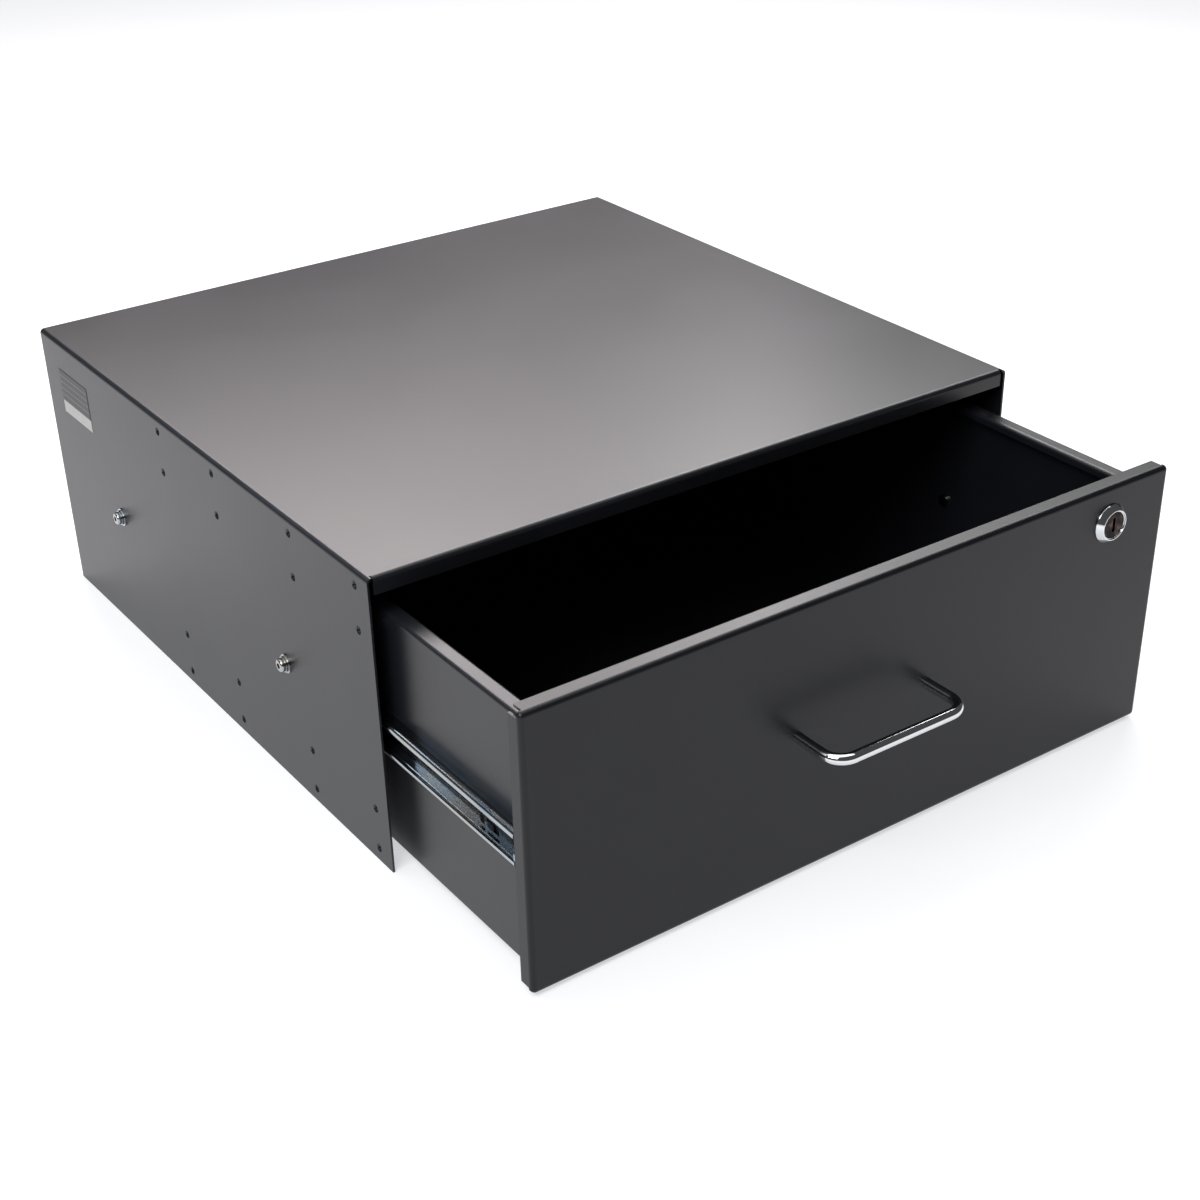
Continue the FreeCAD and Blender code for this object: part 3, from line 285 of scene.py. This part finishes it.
def middles(node):
    """The middle of each separate solid in a CAD node."""
    form = bmesh.new()
    form.from_mesh(nodes[node].data)
    bmesh.ops.remove_doubles(form, verts=form.verts, dist=SAME)
    left, found = dict.fromkeys(form.verts), []
    while left:
        reached = [left.popitem()[0]]
        for vert in reached:
            for other in [edge.other_vert(vert) for edge in vert.link_edges]:
                if other in left:
                    del left[other]
                    reached.append(other)
        spans = [[vert.co[k] for vert in reached] for k in range(3)]
        found.append(Vector([(min(span) + max(span)) / 2 for span in spans]))
    form.free()
    return found


def thread_run(start, pitch, turns, root, crest):
    """Zigzag of a cut thread's section: turns of a pitch, from start along the axis."""
    return [(start + pitch * k / 2, crest if k % 2 else root) for k in range(2 * turns + 1)]


def nut_threads(side):
    """The cut threads inside a row of clinch nuts: 0.8 mm pitch, as in an M5 nut."""
    form = bmesh.new()
    run = thread_run(start=-0.0012, pitch=0.0008, turns=3, root=0.00249, crest=0.0021)
    for middle in middles(f"{side}_rack_nuts"):
        lathed(form, run + run[:1], middle, Vector((1, 0, 0)), steps=24)
    piece(f"{side}_nut_threads", form, BLACK_ZINC, "cabinet")


def button_screws(side):
    """M5 button-head screws: a low dome with a hexagon socket 3.2 mm across."""
    name = f"{side}_side_screws"
    outward = Vector((-1 if side == "left" else 1, 0, 0))
    washer, low_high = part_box(f"{side}_lock_washers"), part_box(name)
    seat = washer[0].x if side == "left" else washer[1].x
    length = (low_high[1].x - seat) if side == "left" else (seat - low_high[0].x)
    head, edge, depth = 0.0029, 0.0013, 0.0017     # heights, and the socket's depth
    rim, crown, socket = 0.0040, 0.0026, 0.0016    # radii, the last to the socket's flats
    shank, tip, chamfer = 0.0025, 0.0021, 0.0004
    dome = [(edge + (head - edge) * math.sin(t), crown + (rim - crown) * math.cos(t))
            for t in [math.radians(15 * k) for k in range(7)]]
    corner = socket / math.cos(math.radians(30))
    profile = [(-length, 0), (-length, tip), (-length + chamfer, shank), (0, shank), (0, rim),
               *dome, (head, corner), (head - depth, corner), (head - depth, 0)]
    form = bmesh.new()
    for middle in middles(name):
        origin = Vector((seat, middle.y, middle.z))
        lathed(form, profile, origin, outward, steps=48)
        # The round socket becomes a hexagon: its points are drawn in to six flats.
        for vert in form.verts:
            arm = vert.co - origin
            off = math.hypot(arm.y, arm.z)
            if arm.dot(outward) > head - depth - SAME and abs(off - corner) < SAME:
                turn = math.atan2(arm.z, arm.y) % math.radians(60) - math.radians(30)
                scale = socket / math.cos(turn) / corner
                vert.co.y, vert.co.z = origin.y + arm.y * scale, origin.z + arm.z * scale
    made = piece(f"{side}_button_screws", form, ZINC, "cabinet")
    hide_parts(name)


def lock_face():
    """Where the lock stands: its axis on the front of the panel."""
    low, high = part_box("lock_body")
    return Vector(((low.x + high.x) / 2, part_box("front_panel")[0].y, (low.z + high.z) / 2))


def lock_housing():
    """Cast lock housing: a conical bezel with a thin front ring, over a threaded barrel."""
    face = lock_face()
    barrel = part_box("lock_body")[1].y - face.y
    front, skirt, step, shelf = 0.0042, 0.0008, 0.0008, 0.0011    # heights and depths
    base, ring, recess, seat, bore = 0.0113, 0.0088, 0.0083, 0.00785, 0.00555    # radii
    root, crest, flat = 0.009, 0.0095, 0.008
    form = bmesh.new()
    threads = thread_run(-barrel, 0.001, 12, root, crest)
    lathed(form, [(-barrel, bore), *threads, (0, root), (0, base), (skirt, base),
                  (front, ring), (front, recess), (front - step, recess),
                  (front - step, seat), (shelf, seat), (shelf, bore), (-barrel, bore)],
           face, Vector((0, -1, 0)), steps=96)
    bmesh.ops.remove_doubles(form, verts=form.verts, dist=SAME)
    bmesh.ops.recalc_face_normals(form, faces=form.faces)
    # The edges of the bezel in front of the panel are broken, and the barrel's aren't.
    corners = [edge for edge in form.edges
               if edge.is_manifold and edge.calc_face_angle() > math.radians(20)
               and max(vert.co.y for vert in edge.verts) < face.y - 0.0005]
    bmesh.ops.bevel(form, geom=corners, affect="EDGES", offset=0.00014, segments=3,
                    profile=0.5, material=-1)
    # Two flats along the barrel keep the lock from turning in the panel.
    for vert in form.verts:
        if vert.co.y > face.y + 0.0001:
            vert.co.x = min(max(vert.co.x, face.x - flat), face.x + flat)
    made = piece("lock_housing", form, CHROME, "drawer")
    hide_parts("lock_body")


def lock_core_plug():
    """The turning plug, its face set back under the housing's ring."""
    stands_out = 0.74    # the share of the CAD plug's height in front of the panel that is kept
    form = bmesh.new()
    form.from_mesh(nodes["lock_plug"].data)
    face = lock_face()
    for vert in form.verts:
        if vert.co.y < face.y:
            vert.co.y = face.y + (vert.co.y - face.y) * stands_out
    made = piece("lock_core_plug", form, DARK_NICKEL, "lock_core")
    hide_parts("lock_plug")


for side in ("left", "right"):
    nut_threads(side)
    button_screws(side)
lock_housing()
lock_core_plug()


# ---- studio -----------------------------------------------------------------------------------
def direction(azimuth, elevation):
    """Unit vector from the object towards a place round it: azimuth 0 is in front."""
    a, e = math.radians(azimuth), math.radians(elevation)
    return Vector((math.sin(a) * math.cos(e), -math.cos(a) * math.cos(e), math.sin(e)))


def pale_floor():
    """A plain pale floor that glows a little, so that it stays white round the object."""
    form = bmesh.new()
    bmesh.ops.create_grid(form, x_segments=1, y_segments=1, size=6.0)
    mesh = bpy.data.meshes.new("floor")
    form.to_mesh(mesh)
    form.free()
    made = bpy.data.objects.new("floor", mesh)
    made.location.z = -0.0002    # just under the object, so that no two faces share a plane
    bpy.context.collection.objects.link(made)
    material, tree, out, _ = finish_named("pale_studio_floor")
    surface(tree, out, Base_Color=paint("#bababa"), Roughness=1.0, Specular_IOR_Level=0.0,
            Emission_Color=paint("#fafbff"), Emission_Strength=0.6)
    mesh.materials.append(material)


def softbox(name, place, size, power, aim, tint):
    """A rectangular area lamp: its place and aim in metres, its power in watts."""
    lamp = bpy.data.lights.new(name, "AREA")
    lamp.shape = "RECTANGLE"
    lamp.size, lamp.size_y = size
    lamp.energy = power
    lamp.color = paint(tint)[:3]
    made = bpy.data.objects.new(name, lamp)
    made.location = place
    made.rotation_mode = "QUATERNION"
    made.rotation_quaternion = (Vector(aim) - made.location).to_track_quat("-Z", "Y")
    bpy.context.collection.objects.link(made)


pale_floor()
world = bpy.data.worlds.new("studio")
world.use_nodes = True
background = world.node_tree.nodes["Background"].inputs
background["Color"].default_value = paint("#ffffff")
background["Strength"].default_value = 0.08
bpy.context.scene.world = world
bpy.context.scene.view_settings.view_transform = "Standard"

MIDDLE = (0, 0, 0.08)
WHITE, ROSY, BLUISH = "#ffffff", "#fff7f7", "#dcebff"
# Name, place, size, power, aim and tint. The boxes behind the object give its top, its rims
# and its slide their sheen, those beside it light its sheets and the overhead one the floor.
SOFTBOXES = [
    ("left_front_box", (-0.965, -0.557, 1.084), (0.8, 0.6), 13, MIDDLE, WHITE),
    ("back_box", (0.436, 1.026, 1.084), (1.1, 0.6), 15.2, MIDDLE, ROSY),
    ("right_box", (0.965, 0.557, 1.084), (0.8, 0.6), 9.5, MIDDLE, WHITE),
    ("right_back_box", (1.03, 1.46, 0.63), (0.6, 0.4), 0.45, MIDDLE, ROSY),
    ("low_back_box", (0.15, 0.8, 0.8), (0.5, 0.3), 1.2, (-0.1, 0, 0.17), ROSY),
    ("left_back_box", (-0.737, 1.053, 0.853), (0.35, 0.25), 1.0, MIDDLE, BLUISH),
    ("overhead_box", (-0.1, 0.5, 3.0), (3.5, 3.5), 74, (-0.1, 0.5, 0), WHITE),
]
for box in SOFTBOXES:
    softbox(*box)

# ---- camera -----------------------------------------------------------------------------------
AZIMUTH, ELEVATION, ROLL = -35.222, 31.547, -0.953
AIM, DISTANCE = Vector((-0.0097, -0.0476, 0.0)), 1.21463

camera = bpy.data.cameras.new("camera")
camera.sensor_width = 36.0
camera.lens = 59.55
camera.shift_x = -0.0179
camera.shift_y = 0.0729
eye = bpy.data.objects.new("camera", camera)
bpy.context.collection.objects.link(eye)
back = direction(AZIMUTH, ELEVATION)
right = (-back).cross(Vector((0, 0, 1))).normalized()
level = Matrix((right, back.cross(right), back)).transposed()
turn = level @ Matrix.Rotation(math.radians(ROLL), 3, "Z")
eye.matrix_world = Matrix.Translation(AIM + back * DISTANCE) @ turn.to_4x4()
bpy.context.scene.camera = eye
